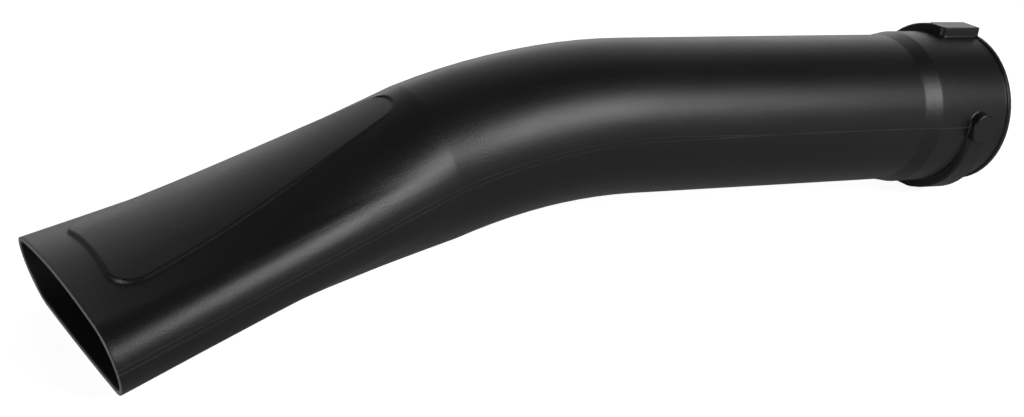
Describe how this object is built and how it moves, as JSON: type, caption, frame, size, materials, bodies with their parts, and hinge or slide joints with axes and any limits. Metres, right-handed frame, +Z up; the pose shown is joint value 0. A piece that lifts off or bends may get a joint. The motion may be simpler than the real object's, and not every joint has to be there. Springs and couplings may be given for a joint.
{
  "type": "leaf blower nozzle tube",
  "caption": "Black blow-moulded blower nozzle tube with a bayonet socket at one end, a straight run, a shallow bend and a wide flattened outlet.",
  "frame": {"origin": "bottom centre of the part's box as it lies at rest on a floor", "axes": "+X towards the socket, +Z up, -Y the side that faces the picture's camera"},
  "size_m": [0.507, 0.124, 0.1063],
  "materials": {
    "black_polyethylene": "satin black with a fine blasted grain"
  },
  "bodies": {
    "root": {"nozzle_tube": "black_polyethylene"}
  },
  "joints": []
}
